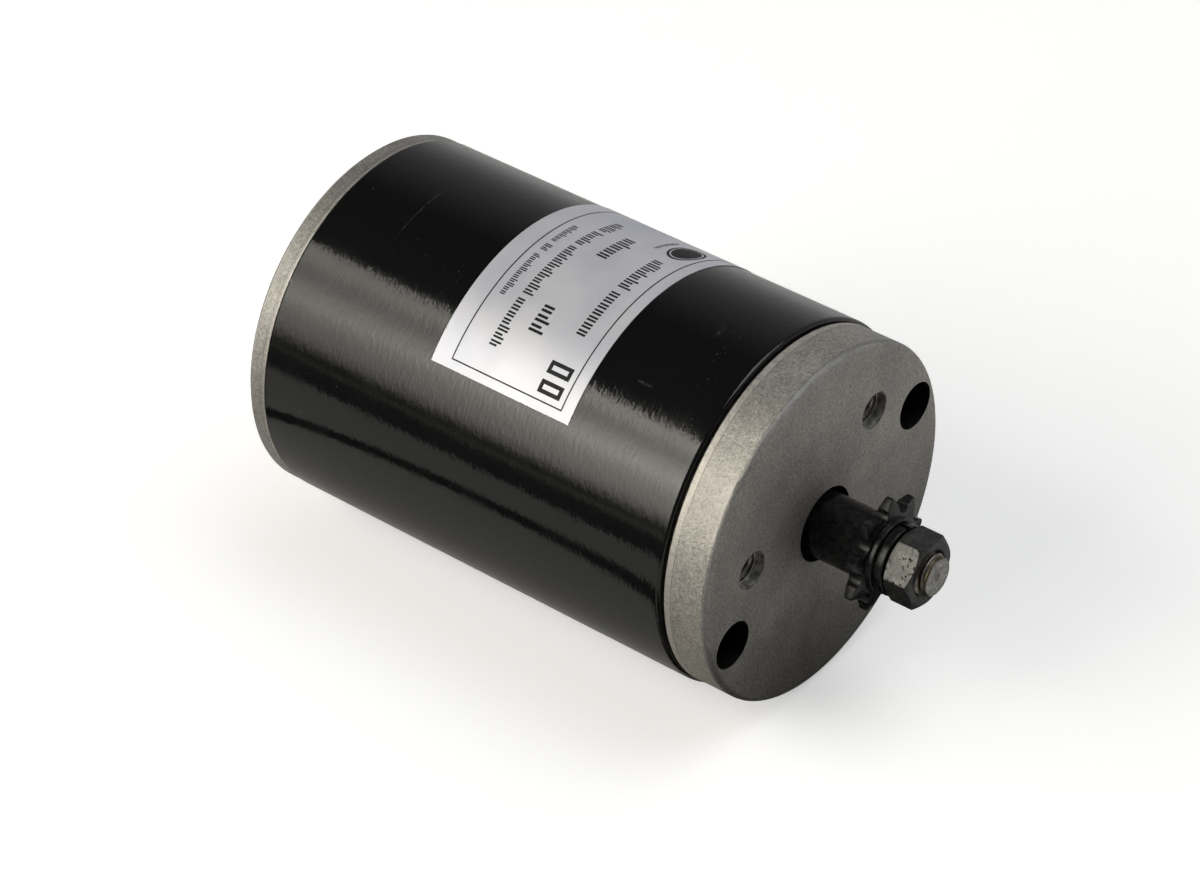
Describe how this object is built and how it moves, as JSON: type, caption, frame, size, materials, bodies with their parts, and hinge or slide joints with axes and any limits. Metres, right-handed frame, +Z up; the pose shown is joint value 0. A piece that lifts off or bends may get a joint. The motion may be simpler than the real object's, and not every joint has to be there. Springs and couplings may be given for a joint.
{
  "type": "electric motor",
  "caption": "Brushed permanent-magnet DC motor: round steel can, cast front cap with tapped mounting holes, shaft with chain sprocket, spring washer and nut.",
  "frame": {"origin": "centre of the front cap's flat mounting face, on the shaft axis", "axes": "+X along the shaft towards the sprocket and nut, +Z up with the motor lying on its side"},
  "size_m": [0.1257, 0.0698, 0.0682],
  "materials": {
    "black_paint": "gloss black enamel",
    "cast_aluminium": "blasted casting",
    "cast_aluminium_rear": "turned casting",
    "ferrite": "ground ferrite",
    "spring_steel": "blued spring steel",
    "zinc_steel": "zinc plated",
    "bearing_steel": "polished",
    "phenolic": "laminated phenolic",
    "brass": "pressed brass",
    "black_rubber": "moulded rubber",
    "label_foil": "satin silver foil",
    "bright_steel": "turned steel",
    "core_steel": "laminated",
    "insulation": "pressboard",
    "enamelled_copper": "enamelled wire",
    "bar_copper": "turned copper",
    "black_oxide": "oiled black oxide",
    "cage_nylon": "moulded nylon",
    "carbon": "pressed graphite"
  },
  "bodies": {
    "housing": {"motor_can": "black_paint", "front_end_cap": "cast_aluminium", "rear_end_cap": "cast_aluminium_rear", "magnet_1": "ferrite", "magnet_2": "ferrite", "magnet_clips": "spring_steel", "through_bolts": "black_oxide", "front_bearing_outer_ring": "bearing_steel", "front_bearing_shields": "bearing_steel", "rear_bearing_outer_ring": "bearing_steel", "rear_bearing_shields": "bearing_steel", "preload_washer": "spring_steel", "brush_card": "phenolic", "card_screws": "zinc_steel", "box_rivets": "brass", "brush_box_1": "brass", "brush_box_2": "brass", "brush_spring_1": "spring_steel", "brush_spring_2": "spring_steel", "lead_grommet": "black_rubber", "rating_label": "label_foil"},
    "rotor": {"shaft": "bright_steel", "rotor_core": "core_steel", "front_end_insulator": "insulation", "rear_end_insulator": "insulation", "slot_liners": "insulation", "slot_conductors": "enamelled_copper", "front_end_winding": "enamelled_copper", "rear_end_winding": "enamelled_copper", "commutator_hub": "phenolic", "commutator_bars": "bar_copper", "front_bearing_inner_ring": "bearing_steel", "rear_bearing_inner_ring": "bearing_steel", "sprocket": "black_oxide", "spring_washer": "black_oxide", "hex_nut": "black_oxide"},
    "front_cage": {"front_bearing_cage": "cage_nylon", "front_bearing_balls": "bearing_steel"},
    "rear_cage": {"rear_bearing_cage": "cage_nylon", "rear_bearing_balls": "bearing_steel"},
    "brush_1": {"brush_1": "carbon"},
    "brush_2": {"brush_2": "carbon"}
  },
  "joints": [
    {"name": "rotor_spin", "type": "hinge", "parent": "housing", "child": "rotor", "pos_m": [0, 0, 0], "axis": [1, 0, 0], "continuous": true},
    {"name": "front_cage_spin", "type": "hinge", "parent": "housing", "child": "front_cage", "pos_m": [0, 0, 0], "axis": [1, 0, 0], "continuous": true},
    {"name": "rear_cage_spin", "type": "hinge", "parent": "housing", "child": "rear_cage", "pos_m": [0, 0, 0], "axis": [1, 0, 0], "continuous": true},
    {"name": "brush_1_slide", "type": "slide", "parent": "housing", "child": "brush_1", "axis": [0, -0.3665, 0.9304], "range_m": [0, 0.0035], "stiffness_N_per_m": 150, "springref_m": -0.012, "deforming": ["brush_spring_1"]},
    {"name": "brush_2_slide", "type": "slide", "parent": "housing", "child": "brush_2", "axis": [0, 0.3665, -0.9304], "range_m": [0, 0.0035], "stiffness_N_per_m": 150, "springref_m": -0.012, "deforming": ["brush_spring_2"]}
  ],
  "couplings": [
    {"joint": "front_cage_spin", "follows": "rotor_spin", "ratio": 0.37},
    {"joint": "rear_cage_spin", "follows": "rotor_spin", "ratio": 0.364}
  ]
}
